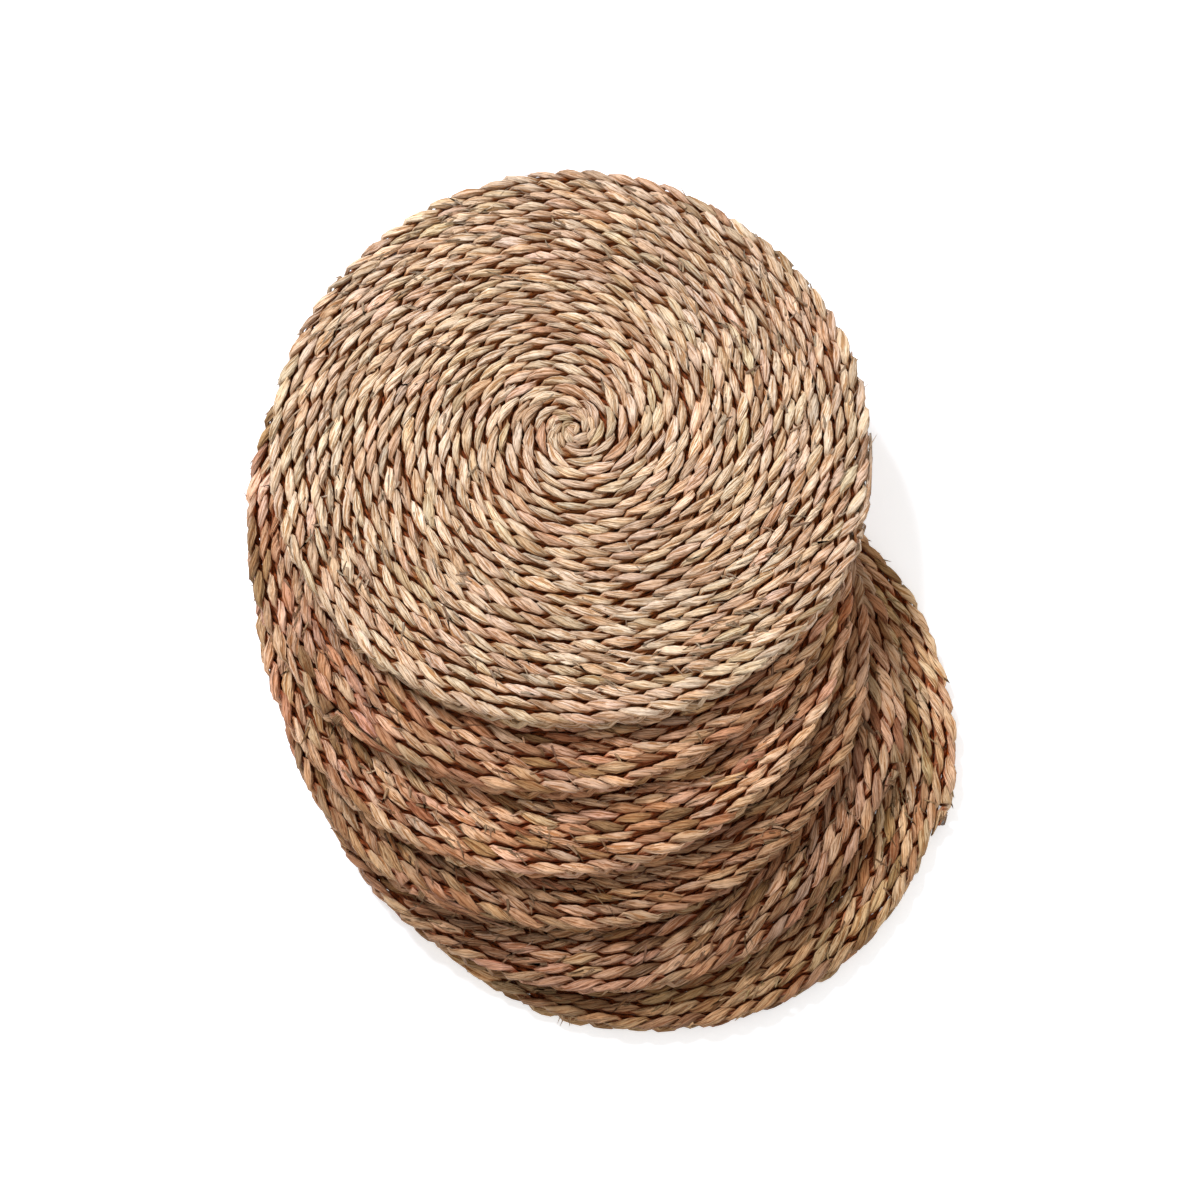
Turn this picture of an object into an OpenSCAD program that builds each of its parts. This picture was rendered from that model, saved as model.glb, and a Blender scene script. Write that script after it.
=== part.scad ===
/* [Plait] */
// Distance from one round of the plait to the next
pitch = 7.6; // [6:0.1:10]
// Height of the plait on edge, which is the thickness of a pad
pad_t = 15; // [10:0.5:22]
// Width of the seam between neighbouring rounds, where the twine runs
seam_w = 1.6; // [1.5:0.1:2]

/* [Rounds] */
// Half-turns of plait in the top pad
top_half_turns = 50; // [30:1:60]
// Half-turns of plait in the second pad
second_half_turns = 50; // [30:1:60]
// Half-turns of plait in the third pad
third_half_turns = 49; // [30:1:60]
// Half-turns of plait in the fourth pad
fourth_half_turns = 49; // [30:1:60]
// Half-turns of plait in the fifth pad
fifth_half_turns = 49; // [30:1:60]
// Half-turns of plait in the bottom pad
bottom_half_turns = 50; // [30:1:60]

/* [Pile] */
// Gap between one pad and the next in the pile
pad_gap = 0.3; // [0.3:0.1:1]
// Shift of the top pad from the pad under it, along X and Y
top_shift = [10, 43]; // [-60:1:60]
// Shift of the second pad from the pad under it
second_shift = [1, 47]; // [-60:1:60]
// Shift of the third pad from the pad under it
third_shift = [-13, 36]; // [-60:1:60]
// Shift of the fourth pad from the pad under it
fourth_shift = [-20, 34]; // [-60:1:60]
// Shift of the fifth pad from the bottom pad
fifth_shift = [-28, 14]; // [-60:1:60]

/* [Ends of the plait] */
// Direction of the top pad's plait end, in degrees from +X
top_end_angle = 338; // [0:1:359]
// Direction of the second pad's plait end
second_end_angle = 226; // [0:1:359]
// Direction of the third pad's plait end
third_end_angle = 100; // [0:1:359]
// Direction of the fourth pad's plait end
fourth_end_angle = 239; // [0:1:359]
// Direction of the fifth pad's plait end
fifth_end_angle = 345; // [0:1:359]
// Direction of the bottom pad's plait end
bottom_end_angle = 344; // [0:1:359]
// Length of a tail that thins out along the rim
long_tail = 66; // [30:1:90]
// Length of a tail that is cut off short
short_tail = 16; // [12:1:28]

/* [Sewing] */
// Thickness of the sewing twine
twine_t = 1.2; // [0.8:0.1:1.3]
// Width of the whipping round each tail
whipping_w = 5; // [3:0.5:8]

/* [Hidden] */
$fn = 64;

half_step = pitch / 2;
plait_w = pitch - seam_w;
half_w = plait_w / 2;
eye_hole_r = 0.8;
first_r = half_w + eye_hole_r;
start_clearance = 0.3;
start_inset = 1;
tail_inset = 2.6;
tail_w = plait_w * 0.85;
tail_tip_w = 1.6;
tail_arc_steps = 10;
whipping_t = 0.9;
whipping_setback = 3;
whipping_play = 0.02;

// Each pad's record: half-turns, centre, level from the ground, end direction, face up or down, tail length
TURNS = 0;
CENTRE = 1;
LEVEL = 2;
END = 3;
FLIPPED = 4;
TAIL = 5;
fifth_at = fifth_shift;
fourth_at = fifth_at + fourth_shift;
third_at = fourth_at + third_shift;
second_at = third_at + second_shift;
top_at = second_at + top_shift;
bottom_pad = [bottom_half_turns, [0, 0], 0, bottom_end_angle, true, short_tail];
fifth_pad = [fifth_half_turns, fifth_at, 1, fifth_end_angle, true, short_tail];
fourth_pad = [fourth_half_turns, fourth_at, 2, fourth_end_angle, false, long_tail];
third_pad = [third_half_turns, third_at, 3, third_end_angle, false, long_tail];
second_pad = [second_half_turns, second_at, 4, second_end_angle, false, long_tail];
top_pad = [top_half_turns, top_at, 5, top_end_angle, false, long_tail];
PADS = [bottom_pad, fifth_pad, fourth_pad, third_pad, second_pad, top_pad];

// The spiral is made of half-turns: each is one half_step wider than the last, and their centres alternate
function half_turn_r(k) = first_r + k * half_step;
function half_turn_centre(k) = k % 2 == 0 ? 0 : half_step;
// Local direction in which a spiral of so many half-turns ends
function end_direction(turns) = turns % 2 == 0 ? 0 : 180;
// Inner face of the tail, which lies where the next half-turn would
function tail_inner_r(turns) = half_turn_r(turns) - half_w;

function arc_point(r, a) = [r * cos(a), r * sin(a)];

// Middle of the pile's outline, which is the origin of the part
function rim_r(pad) = half_turn_r(pad[TURNS] - 1) + half_w - half_step / 2;
function low_side(axis) = min([for (pad = PADS) pad[CENTRE][axis] - rim_r(pad)]);
function high_side(axis) = max([for (pad = PADS) pad[CENTRE][axis] + rim_r(pad)]);
pile_mid = [(low_side(0) + high_side(0)) / 2, (low_side(1) + high_side(1)) / 2];

// Half a turn of a profile that starts at radius r, on half-turn k's side of the pad
module half_turn(k, r) {
    translate([half_turn_centre(k), 0, 0])
        rotate([0, 0, k % 2 == 0 ? 0 : 180])
            rotate_extrude(angle = 180)
                translate([r, 0])
                    children();
}

// Puts a pad's local shape at its place in the pile, turned so that its plait ends in the given direction
module place(pad) {
    centre = pad[CENTRE] - pile_mid;
    level_z = pad[LEVEL] * (pad_t + pad_gap);
    local_end = end_direction(pad[TURNS]);
    translate([centre[0], centre[1], level_z])
        if (pad[FLIPPED])
            rotate([0, 0, pad[END] - 180 + local_end])
                mirror([1, 0, 0])
                    children();
        else
            rotate([0, 0, pad[END] - local_end])
                children();
}

// One long plait wound flat from the eye to the rim
module plait(pad) {
    place(pad)
        for (k = [0:pad[TURNS] - 1])
            half_turn(k, half_turn_r(k) - half_w)
                square([plait_w, pad_t]);
}

// The folded start of the plait, tucked into the eye of the spiral
module start(pad) {
    eye_r = half_turn_r(1) - half_w - start_clearance;
    place(pad)
        translate([half_step, 0, start_inset])
            intersection() {
                cylinder(h = pad_t - 2 * start_inset, r = eye_r);
                translate([-eye_r, -eye_r, 0])
                    cube([2 * eye_r, eye_r - start_clearance, pad_t]);
            }
}

// The twine that sews each round to the one inside it, along the seams at mid-height
module sewing_twine(pad) {
    place(pad)
        translate([0, 0, (pad_t - twine_t) / 2])
            for (k = [2:pad[TURNS] - 1])
                half_turn(k, half_turn_r(k) - half_step - twine_t / 2)
                    square(twine_t);
}

// Turns a shape drawn from +X onto the half-turn that follows the last one
module on_tail_turn(turns) {
    translate([half_turn_centre(turns), 0, 0])
        rotate([0, 0, turns % 2 == 0 ? 0 : 180])
            children();
}

// The strand ends past the last plaited round: a curved wedge that lies against the rim
module tail(pad) {
    turns = pad[TURNS];
    inner_r = tail_inner_r(turns);
    sweep = pad[TAIL] / inner_r * 180 / PI;
    tip_w = pad[TAIL] == long_tail ? tail_tip_w : tail_w;
    inner = [for (i = [0:tail_arc_steps]) arc_point(inner_r, sweep * i / tail_arc_steps)];
    outer = [for (i = [tail_arc_steps:-1:0])
        arc_point(inner_r + tail_w + (tip_w - tail_w) * i / tail_arc_steps, sweep * i / tail_arc_steps)];
    place(pad)
        on_tail_turn(turns)
            translate([0, 0, tail_inset])
                linear_extrude(height = pad_t - 2 * tail_inset)
                    polygon(concat(inner, outer));
}

// Twine whipped round the tail where it leaves the plait
module tail_whipping(pad) {
    turns = pad[TURNS];
    inner_r = tail_inner_r(turns);
    from = whipping_setback / inner_r * 180 / PI;
    sweep = whipping_w / inner_r * 180 / PI;
    place(pad)
        on_tail_turn(turns)
            rotate([0, 0, from])
                rotate_extrude(angle = sweep)
                    translate([inner_r, tail_inset])
                        difference() {
                            translate([0, -whipping_t])
                                square([tail_w + whipping_t, pad_t - 2 * tail_inset + 2 * whipping_t]);
                            translate([-whipping_t, 0])
                                square([whipping_t + tail_w + whipping_play, pad_t - 2 * tail_inset]);
                        }
}

module top_pad_plait() { color([0.80, 0.66, 0.47]) plait(top_pad); }
module top_pad_start() { color([0.76, 0.60, 0.42]) start(top_pad); }
module top_pad_sewing_twine() { color([0.62, 0.48, 0.33]) sewing_twine(top_pad); }
module top_pad_tail() { color([0.83, 0.71, 0.54]) tail(top_pad); }
module top_pad_tail_whipping() { color([0.62, 0.48, 0.33]) tail_whipping(top_pad); }

module second_pad_plait() { color([0.74, 0.57, 0.40]) plait(second_pad); }
module second_pad_start() { color([0.72, 0.55, 0.38]) start(second_pad); }
module second_pad_sewing_twine() { color([0.60, 0.46, 0.31]) sewing_twine(second_pad); }
module second_pad_tail() { color([0.77, 0.62, 0.45]) tail(second_pad); }
module second_pad_tail_whipping() { color([0.60, 0.46, 0.31]) tail_whipping(second_pad); }

module third_pad_plait() { color([0.74, 0.56, 0.38]) plait(third_pad); }
module third_pad_start() { color([0.71, 0.53, 0.36]) start(third_pad); }
module third_pad_sewing_twine() { color([0.60, 0.46, 0.31]) sewing_twine(third_pad); }
module third_pad_tail() { color([0.78, 0.61, 0.43]) tail(third_pad); }
module third_pad_tail_whipping() { color([0.60, 0.46, 0.31]) tail_whipping(third_pad); }

module fourth_pad_plait() { color([0.66, 0.53, 0.38]) plait(fourth_pad); }
module fourth_pad_start() { color([0.64, 0.50, 0.36]) start(fourth_pad); }
module fourth_pad_sewing_twine() { color([0.56, 0.44, 0.30]) sewing_twine(fourth_pad); }
module fourth_pad_tail() { color([0.70, 0.58, 0.43]) tail(fourth_pad); }
module fourth_pad_tail_whipping() { color([0.56, 0.44, 0.30]) tail_whipping(fourth_pad); }

module fifth_pad_plait() { color([0.67, 0.49, 0.35]) plait(fifth_pad); }
module fifth_pad_start() { color([0.65, 0.47, 0.33]) start(fifth_pad); }
module fifth_pad_sewing_twine() { color([0.56, 0.42, 0.29]) sewing_twine(fifth_pad); }
module fifth_pad_tail() { color([0.72, 0.55, 0.40]) tail(fifth_pad); }
module fifth_pad_tail_whipping() { color([0.56, 0.42, 0.29]) tail_whipping(fifth_pad); }

module bottom_pad_plait() { color([0.65, 0.52, 0.35]) plait(bottom_pad); }
module bottom_pad_start() { color([0.63, 0.50, 0.34]) start(bottom_pad); }
module bottom_pad_sewing_twine() { color([0.55, 0.43, 0.29]) sewing_twine(bottom_pad); }
module bottom_pad_tail() { color([0.70, 0.57, 0.40]) tail(bottom_pad); }
module bottom_pad_tail_whipping() { color([0.55, 0.43, 0.29]) tail_whipping(bottom_pad); }

top_pad_plait();
top_pad_start();
top_pad_sewing_twine();
top_pad_tail();
top_pad_tail_whipping();
second_pad_plait();
second_pad_start();
second_pad_sewing_twine();
second_pad_tail();
second_pad_tail_whipping();
third_pad_plait();
third_pad_start();
third_pad_sewing_twine();
third_pad_tail();
third_pad_tail_whipping();
fourth_pad_plait();
fourth_pad_start();
fourth_pad_sewing_twine();
fourth_pad_tail();
fourth_pad_tail_whipping();
fifth_pad_plait();
fifth_pad_start();
fifth_pad_sewing_twine();
fifth_pad_tail();
fifth_pad_tail_whipping();
bottom_pad_plait();
bottom_pad_start();
bottom_pad_sewing_twine();
bottom_pad_tail();
bottom_pad_tail_whipping();
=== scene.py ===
import math

import bpy
import numpy as np
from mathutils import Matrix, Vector


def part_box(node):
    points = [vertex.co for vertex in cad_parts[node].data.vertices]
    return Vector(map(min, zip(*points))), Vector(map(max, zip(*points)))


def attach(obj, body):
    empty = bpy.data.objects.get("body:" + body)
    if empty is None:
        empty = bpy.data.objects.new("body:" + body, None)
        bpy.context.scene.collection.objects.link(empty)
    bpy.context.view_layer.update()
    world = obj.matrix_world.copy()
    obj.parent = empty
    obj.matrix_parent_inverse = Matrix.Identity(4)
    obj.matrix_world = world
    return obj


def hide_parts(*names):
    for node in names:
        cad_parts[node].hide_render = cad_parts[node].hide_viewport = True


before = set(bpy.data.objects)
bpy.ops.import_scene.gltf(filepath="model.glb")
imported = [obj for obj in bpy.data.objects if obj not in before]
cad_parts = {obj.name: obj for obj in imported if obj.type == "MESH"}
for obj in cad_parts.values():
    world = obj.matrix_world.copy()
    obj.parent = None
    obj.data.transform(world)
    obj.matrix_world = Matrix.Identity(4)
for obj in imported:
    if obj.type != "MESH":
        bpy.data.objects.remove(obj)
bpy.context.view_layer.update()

# ================================================================ numbers, in millimetres and degrees if not said
MM = 0.001
TURN = 2 * math.pi
UP = np.array([0.0, 0.0, 1.0])
PITCH = 7.6  # from one round of the spiral to the next
HALF_STEP = PITCH / 2  # the spiral is made of half circles, each this much larger than the last
PLAIT_W = 6.0
PAD_T = 15.0
MID = PAD_T / 2
SKIN = 0.08  # kept free at a pad's top and underside
PLACE_SAMPLES, SPOT_SAMPLES = 721, 1441  # points on the last round, to find a pad's place and a place on its rim

# ---------------------------------------------------------------- a strand of the plait
PERIOD = 54.3  # length in which a strand crosses the plait and comes back
# Rings of a strand in half a period, in degrees from mid-height: a crest at 90, closer together at the leaf's tips
RING_PHASES = (0, 11, 30, 58, 90, 122, 150, 169)
RISE = 5.1  # how far a strand's middle climbs above and below the plait's middle
FLAT_TOP = 0.16  # how much longer it stays high than a sine wave does
SWAY = 2.0  # how far it weaves in and out
STRAIGHT = (0.36, 0.12)  # overtones that make it slant straight across, where a sine wave would bend
CREST_A, CREST_B = 3.35, 2.05  # half width and half height where it shows on top or underneath
TURN_A, TURN_B = 0.85, 1.6  # the same where it dives under the next leaf
CROSS_A, CROSS_B = 2.2, 3.2  # the same where the strands cross at mid-height
DIVE = 0.88  # where it is narrowest, as a share of the way from the crest to mid-height
DIVE_B = (0.45, 0.75)  # where it is thinnest, and where it is as high as at mid-height
LEAF_POINT = 1.45  # how a leaf narrows to its ends: 1 is a diamond, 2 an oval
UNDERSIDE_WIDER = 1.08
COLOUR_BLEND = 0.14  # share of half a period in which one leaf's colour goes over into the next one's
PINCH_R, PINCH_LEAST = 12, 0.55  # radius within which the turns are pinched, and how narrow they get

# A strand is a twisted bundle of folded leaves: its section has four lobes of unlike width with creases between
LOBE_SHARES = (0.29, 0.22, 0.27, 0.22)
LOBE_POINTS = (0.75, 1.0, 1.07, 0.98)  # distance from the middle at a crease and at three points of the lobe
LOBE_UNLIKE = (0.85, 1.15)
SIDES = len(LOBE_SHARES) * len(LOBE_POINTS)
CREASES = range(0, SIDES, len(LOBE_POINTS))
TWIST = 100.0  # length in which the bundle turns once
STRAND_NAMES = ("first", "middle", "last")

# ---------------------------------------------------------------- the six pads
# name: half-turns, end direction, lying face down, tail length, material slot, seed
PADS = {
    "bottom": (50, 344, True, 16, "bottom_seagrass", 11),
    "fifth": (49, 345, True, 16, "fifth_seagrass", 22),
    "fourth": (49, 239, False, 66, "fourth_seagrass", 33),
    "third": (49, 100, False, 66, "third_seagrass", 44),
    "second": (50, 226, False, 66, "second_seagrass", 55),
    "top": (50, 338, False, 66, "top_seagrass", 66),
}

# Hand-made departures from a true circle: direction, half-width of the departure, amount at the rim
OUT_OF_ROUND = {
    "top": [(48, 30, -3.5), (132, 30, -4.0), (222, 32, 2.0)],
    "second": [(160, 35, -1.5), (260, 30, 1.2)],
    "third": [(30, 40, -1.5), (200, 35, 1.4)],
    "fourth": [(290, 30, 1.4), (190, 30, -1.2)],
    "fifth": [(330, 35, 1.5), (240, 30, -1.4)],
    "bottom": [(310, 35, 1.6), (20, 30, -1.5), (240, 25, 1.2)],
}

# Patches where a pad's leaves are lighter or darker, partly their own tone and partly painted light and shade where the
# pile is lit or shaded: direction, half-width, colour factors at the rim
LIGHT_AND_TONE_PATCHES = {
    "bottom": [(0, 42, (1.34, 1.40, 1.60)), (262, 34, (0.64, 0.57, 0.52)), (302, 20, (0.76, 0.71, 0.67))],
    "fifth": [(5, 40, (1.06, 1.07, 1.10)), (255, 40, (0.95, 0.94, 0.95)), (302, 18, (0.84, 0.81, 0.80))],
    "fourth": [(262, 40, (0.96, 0.96, 0.96)), (318, 24, (0.82, 0.80, 0.76))],
    "third": [(340, 36, (1.04, 1.02, 1.00))],
    "second": [(175, 45, (1.18, 1.30, 1.40)), (330, 30, (1.06, 1.04, 1.02))],
    "top": [(195, 50, (1.05, 1.06, 1.06)), (90, 45, (0.95, 0.94, 0.94))],
}

# Leaf colours as sRGB 0-255 with their shares
LEAVES = [
    ((247, 223, 197), 0.30),  # cream
    ((241, 213, 183), 0.32),  # straw
    ((236, 202, 177), 0.17),  # pinkish tan
    ((231, 208, 175), 0.09),  # olive beige
    ((218, 180, 148), 0.11),  # tan brown
    ((214, 166, 132), 0.01),  # red brown
    ((196, 166, 128), 0.02),  # dark olive
]
BROWN, OLIVE = 4, 6  # which of them are commoner in some pads
# Each pad's tint (multiplies the leaf colours; on the lower pads partly painted shade, darker where they lie under the
# pads above), share of browner leaves, and how unlike its leaves are
TINTS_AND_SHADE = {
    "top": ((1.0, 1.02, 1.05), 0.0, 0.75),
    "second": ((0.91, 0.845, 0.82), 0.08, 1.2),
    "third": ((0.935, 0.88, 0.855), 0.08, 1.2),
    "fourth": ((0.81, 0.745, 0.70), 0.08, 1.2),
    "fifth": ((0.80, 0.735, 0.70), 0.14, 1.2),
    "bottom": ((0.86, 0.82, 0.74), 0.04, 1.1),
}
TONE_SPREAD, TONE_SPREAD_BROWN = 0.09, 0.6  # how unlike in tone a pad's leaves are, and how much more if browner
TONE_LIMITS = (0.66, 1.24)
HUE_SPREAD = 0.02

# ---------------------------------------------------------------- what varies by hand along a plait
ROOM_BEFORE, ROOM_AFTER, ROOM_STEP = 40, 140, 4.0  # stretch of plait that the wanders cover
SPARE_CRESTS = 6
# Slow wanders: length between new values, and amount
SLIP_WANDER = (90, 1.6)  # of all three strands along the plait
SIDE_WANDER = (60, 0.3)  # of all three in and out
OWN_SLIP_WANDER = (30, 1.2)  # of each strand along the plait
TWIST_WANDER = (50, 0.9)  # of each strand's twist, in radians
# From crest to crest: mean, spread, least and most
CREST_VARIES = {
    "lift": (-0.05, 0.35, -0.9, 0.35),
    "weave": (1, 0.28, 0.35, 1.45),
    "aside": (0, 0.5, -1.0, 1.0),
    "width": (1, 0.15, 0.66, 1.22),
    "depth": (1, 0.09, 0.78, 1.1),
    "point": (1, 0.22, 0.65, 1.5),
    "roll": (-0.05, 0.3, -0.65, 0.6),  # in radians
}

# ---------------------------------------------------------------- the leaves squeezed inside the plait
INNER_FROM, INNER_NEAR_EYE = 2, 200  # where they begin, and how far they need closer rings
INNER_STEP, INNER_CLOSE_STEP = 9.0, 3.0
INNER_SIDES = 6
INNER_HALF_W, INNER_HALF_H = 2.8, 3.0
INNER_RIM_HALF_W, INNER_RIM_HALF_H = 1.5, 4.4
INNER_COLOUR, INNER_GRAIN = (178, 146, 114), 1
INNER_HOLLOW_SHADE, INNER_RIM_HOLLOW_SHADE = 0.75, 0.35  # painted shade: how dark they are, and on the side that faces out of the pad

# ---------------------------------------------------------------- the eye
EYE_R = 13.0
EYE_SINK, EYE_SINK_SPAN = 0.16, 8  # how much lower the plait's first rounds lie under the eye's leaves, and how far
EYE_FIRST_R, EYE_PITCH, EYE_SPACING, EYE_OVERLAP = 3.0, 4.5, 8.2, 2  # the spiral that its leaves follow
EYE_RINGS = 13
EYE_POINT = 0.7  # how its leaves narrow to their ends
EYE_ROLL = 0.2  # in radians
EYE_LEAF = {
    "half_length": (4.6, 7.2),
    "shorter": (0.62, 20),  # share of the length at the very middle, and the radius that would add a whole one
    "off_line": 0.4,
    "lean": (22, 13),  # how far it turns outward: mean and spread
    "bend": 0.28,  # how much it follows the round: 0 is straight, 0.5 a circle
    "bend_r": 3.2,  # the least radius it bends round
    "lift": (0.35, 0.15),  # above the plait's leaves: mean and spread
    "droop": 2.3,  # how far its ends dip
    "end": 0.5,  # half width and half height at its ends
    "half_w": (1.45, 1.9),
    "half_h": 1.3,
    "twist": 0.5,
    "apart": (0.85, 1.15),
    "grain": 5,
    "grain_apart": 40,
}
KNOT_DIRECTIONS = (12, 150, 265)  # of the leaves crossed over the very middle
KNOT_LEAF = {
    "turned": (-15, 15),
    "half_length": 5.0,
    "along": 0.8,
    "aside": 2.1,
    "aside_share": (0.5, 1.2),
    "bow": 1.4,
    "lift": (0.1, 0.25),  # mean and spread
    "droop": (1.6, 1.2),  # evenly, and more at the very ends
    "end": 0.4,
    "half_w": 1.5,
    "half_h": 1.3,
    "tone": 0.95,
    # painted shade on these leaves
    "hollow": 0.1,
    "grain": 3,
}
# The filling between its two faces
CORE_HALF_H, CORE_R, CORE_RINGS = 3.0, 2.6, 9
# Painted shade on the filling, and its grain
CORE_HOLLOW_SHADE, CORE_GRAIN = 0.6, 3

# ---------------------------------------------------------------- stitching, tails and whipping
STITCH, STITCH_SWING, STITCH_RISE = 9.0, 0.5, 1.3
STITCH_STEPS, STITCH_FREE = 3, 2  # points in a stitch, and length without stitches at either end
TWINE_SIDES, TWINE_HALF_W, TWINE_HALF_H = 4, 1.25, 0.75
TWINE_COLOUR = (206, 170, 134)
TWINE_GRAIN = 4  # how much finer the twine's grain is than a leaf's
# Painted shade on the sewing twine, where it lies deep between the rounds
TWINE_HOLLOW_SHADE = 0.9
SHORT_TAIL = 30  # a tail up to this length is cut off, a longer one thins out along the rim
TAIL_RISE, TAIL_LEAN = 3.2, 4.0  # how far a thinning tail climbs and leans in against the rim
TAIL_INTO_PLAIT = 3
WAIST, WAIST_SPAN = 0.36, 4  # how much the whipping pulls the plait in, and over what length
# How a tail thins: by how much, from where, and over what share of its length
LONG_THINNING, SHORT_THINNING = (0.7, 6, 1.2), (0.5, 4, 0.75)
LONG_STOPS, SHORT_CUTS = (0.9, 0.72, 0.8), (0, 4.5, 2)  # strand ends: share of a long tail, or short of a cut one's
FADE_RINGS, FADE_LEAST = 4, 0.12  # how a long tail's strands come to a point
# Straws in a tail, how far they spread from the rim, and how far past a cut end
TAIL_STRAWS = {"top": (9, 1.0, 0), "second": (9, 1.5, 0), "third": (8, 1.0, 0), "fourth": (11, 5.0, 0),
               "fifth": (9, 1.0, 7), "bottom": (5, 0.5, 3)}
TAIL_STRAW = {
    "rings": 16,
    "begin": 1,  # least and most past the plait's end, in a long tail and a short one
    "begin_long": 12,
    "begin_short": 5,
    "end": (0.75, 1.12),  # share of a long tail
    "spread": (-0.3, 1),
    "off_rim": 0.6,
    "side": (0.8, 2.6),
    "side_wave": (0.4, 5),  # amount and how many radians
    "rise": (-1.5, 5.2),
    "rise_less": 0.2,  # how much lower it ends
    "rise_wave": (0.6, 4),
    "half_w": (0.9, 1.6),
    "half_t": (0.35, 0.6),
    "tone": 1.08,
    "tip": 0.25,
}
WHIPPING_FROM, WHIPPING_STEP, WHIPPING_TURNS = 3.5, 1.0, 5
WHIPPING_SIDE, WHIPPING_HALF_W, WHIPPING_HALF_H = -0.45, 2.75, 5.2
WHIPPING_R, WHIPPING_SIDES, WHIPPING_RINGS = 0.42, 6, 20  # the twine's, with its rings for each turn
WHIPPING_SQUARE = 0.7  # shape of a turn: 1 is an oval, less is squarer
WHIPPING_AXIS = 5  # stretch of plait that gives the direction it is wound round

# ---------------------------------------------------------------- loose ends
STRAW_SIDES = 6
# How many on the upper face, on the underside, and on the rim
LOOSE_ENDS = {"top": (560, 80, 7), "second": (620, 80, 9), "third": (620, 80, 9),
              "fourth": (620, 80, 9), "fifth": (620, 80, 9), "bottom": (620, 80, 9)}
FACE_TIP = {
    "inward": 0.0005,  # how near the eye the first can be, as a share of the area
    "depth": (0.4, 1.3),
    "climb": (-3, 9),
    "side": (-2.8, 2.2),
    "heading": (22, 24),
    "length": (4, 14),
    "bend": 1.6,
    "half_w": (0.3, 0.95),
    "half_t": (0.18, 0.35),
    "tone": (0.65, 1.12),
}
RIM_END_FREE = 4  # none so near the plait's end
WHISKER = {
    "side": (1.5, 2.8),
    "height": (2.5, 13),
    "heading": (12, 40),
    "climb": (-15, 20),
    "length": (3, 6),
    "bend": 0.8,
    "half_w": (0.15, 0.3),
    "half_t": 0.12,
    "tone": 1.1,
}
FRAYED_TIPS = 50  # short leaf tips standing off each pad's upper rim
FRAYED_TIP = {
    "side": (1.2, 2.2),
    "depth": (0.8, 4),
    "heading": (8, 38),
    "climb": (-12, 3),
    "length": (4, 8),
    "bend": 0.6,
    "steps": 5,
    "half_w": (0.45, 1.0),
    "half_t": 0.25,
    "tip": 0.08,
}
# Longer stray ends: direction of the place on the rim, heading, climb, length and half-width
STRAY_ENDS = {
    "top": [(8, 55, 10, 9, 0.3), (66, 35, 8, 9, 0.4), (355, 25, 4, 14, 0.4)],
    "second": [(180, 150, 8, 7, 0.4), (250, 20, 5, 12, 0.4)],
    "third": [(230, 25, 5, 12, 0.4)],
    "fourth": [(262, 80, 2, 10, 0.3), (243, 12, 4, 16, 0.4)],
    "bottom": [(254, 78, -8, 8, 0.45), (255, 95, 4, 7, 0.4), (253.5, 60, -14, 7, 0.4), (254.5, 110, -4, 6, 0.35),
               (256, 85, 12, 6, 0.3)],
}
STRAY_END = {"side": 1.6, "depth": 2.5, "bend": 1.0, "steps": 9, "half_t": 0.25}

# ---------------------------------------------------------------- the leaves' look
HOLLOW_SHADE_FROM, HOLLOW_SHADE_SPAN = 1.55, 3.0  # depth below the surface at which painted shade begins to darken the leaves, and how far on
GRAIN_R = 2.6  # size of the grain round a leaf, in grain units
GRAIN_ALONG = 0.07  # grain units for each millimetre along it
GRAIN_APART = 7.3  # shift of the grain from one strand to another
GRAIN_SEEDS = 17
ROUGHNESS, SPECULAR = 0.5, 0.3
# Noises that follow the grain: scale, detail, roughness
PLEATS, FIBRES, BLOTCHES = (0.95, 2.0, 0.6), (2.0, 2.5, 0.7), (0.38, 1.0, 0.5)
# Colours that multiply the leaf's, each with the noise level at which it begins, the level at which it is full,
# and how strong it is there
WARM, WARM_SPAN = (1.0, 0.89, 0.74), (0.42, 0.66, 0.7)
STREAK, STREAK_SPAN = (0.74, 0.64, 0.52), (0.62, 0.36, 0.8)
# Darker in the pleats' folds, where the bump sinks: partly the leaf's own colour, partly painted shade in the creases
FOLD_SHADE, FOLD_SHADE_SPAN = (0.58, 0.41, 0.25), (0.49, 0.35, 1)
LINE_LEVEL, LINE_SPAN = 0.42, (0.03, 0.0, 0.9)  # level of the pleats' noise along which a dark line runs, partly painted shadow along the fold
HOLLOW_SHADE, HOLLOW_SHADE_TOP = (0.84, 0.26, 0.03), (0.80, 0.38, 0.10)  # painted shade in the hollows between the leaves
FIBRE_RELIEF = 0.35  # how high the fibres stand, against the pleats
RELIEF = 0.0034  # bump distance

# ---------------------------------------------------------------- floor, light and camera, in metres and watts
FLOOR_HALF = 30.0
FLOOR_COLOUR = (0.84, 0.89, 0.97, 1)  # evens out the warm light round about
FLOOR_ROUGHNESS = 0.9
FLOOR_GLOW = 0.37  # a lit studio table: white out to the horizon
# name: place, size, power, colour
LAMPS = {
    "key": ((-1.3, 1.55, 2.5), 0.7, 109, (0.985, 1, 1.04)),
    "fill": ((0.9, -2.0, 2.2), 2.4, 16, (1, 1, 1)),
}
SOFT_LIGHT, SOFT_STRENGTH = (1, 0.92, 0.82, 1), 0.68  # from all round
BACKDROP = (0.95, 0.95, 0.95, 1)  # what shows behind the floor
CAMERA_TARGET = Vector((-0.001, 0.0036, 0.0))
CAMERA_DISTANCE = 1.3
CAMERA_ELEVATION = math.radians(70)
LENS, SENSOR = 59, 36  # in millimetres


# ================================================================ helpers
def linear(rgb):
    c = np.asarray(rgb, float) / 255
    return np.where(c <= 0.04045, c / 12.92, ((c + 0.055) / 1.055) ** 2.4)


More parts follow.
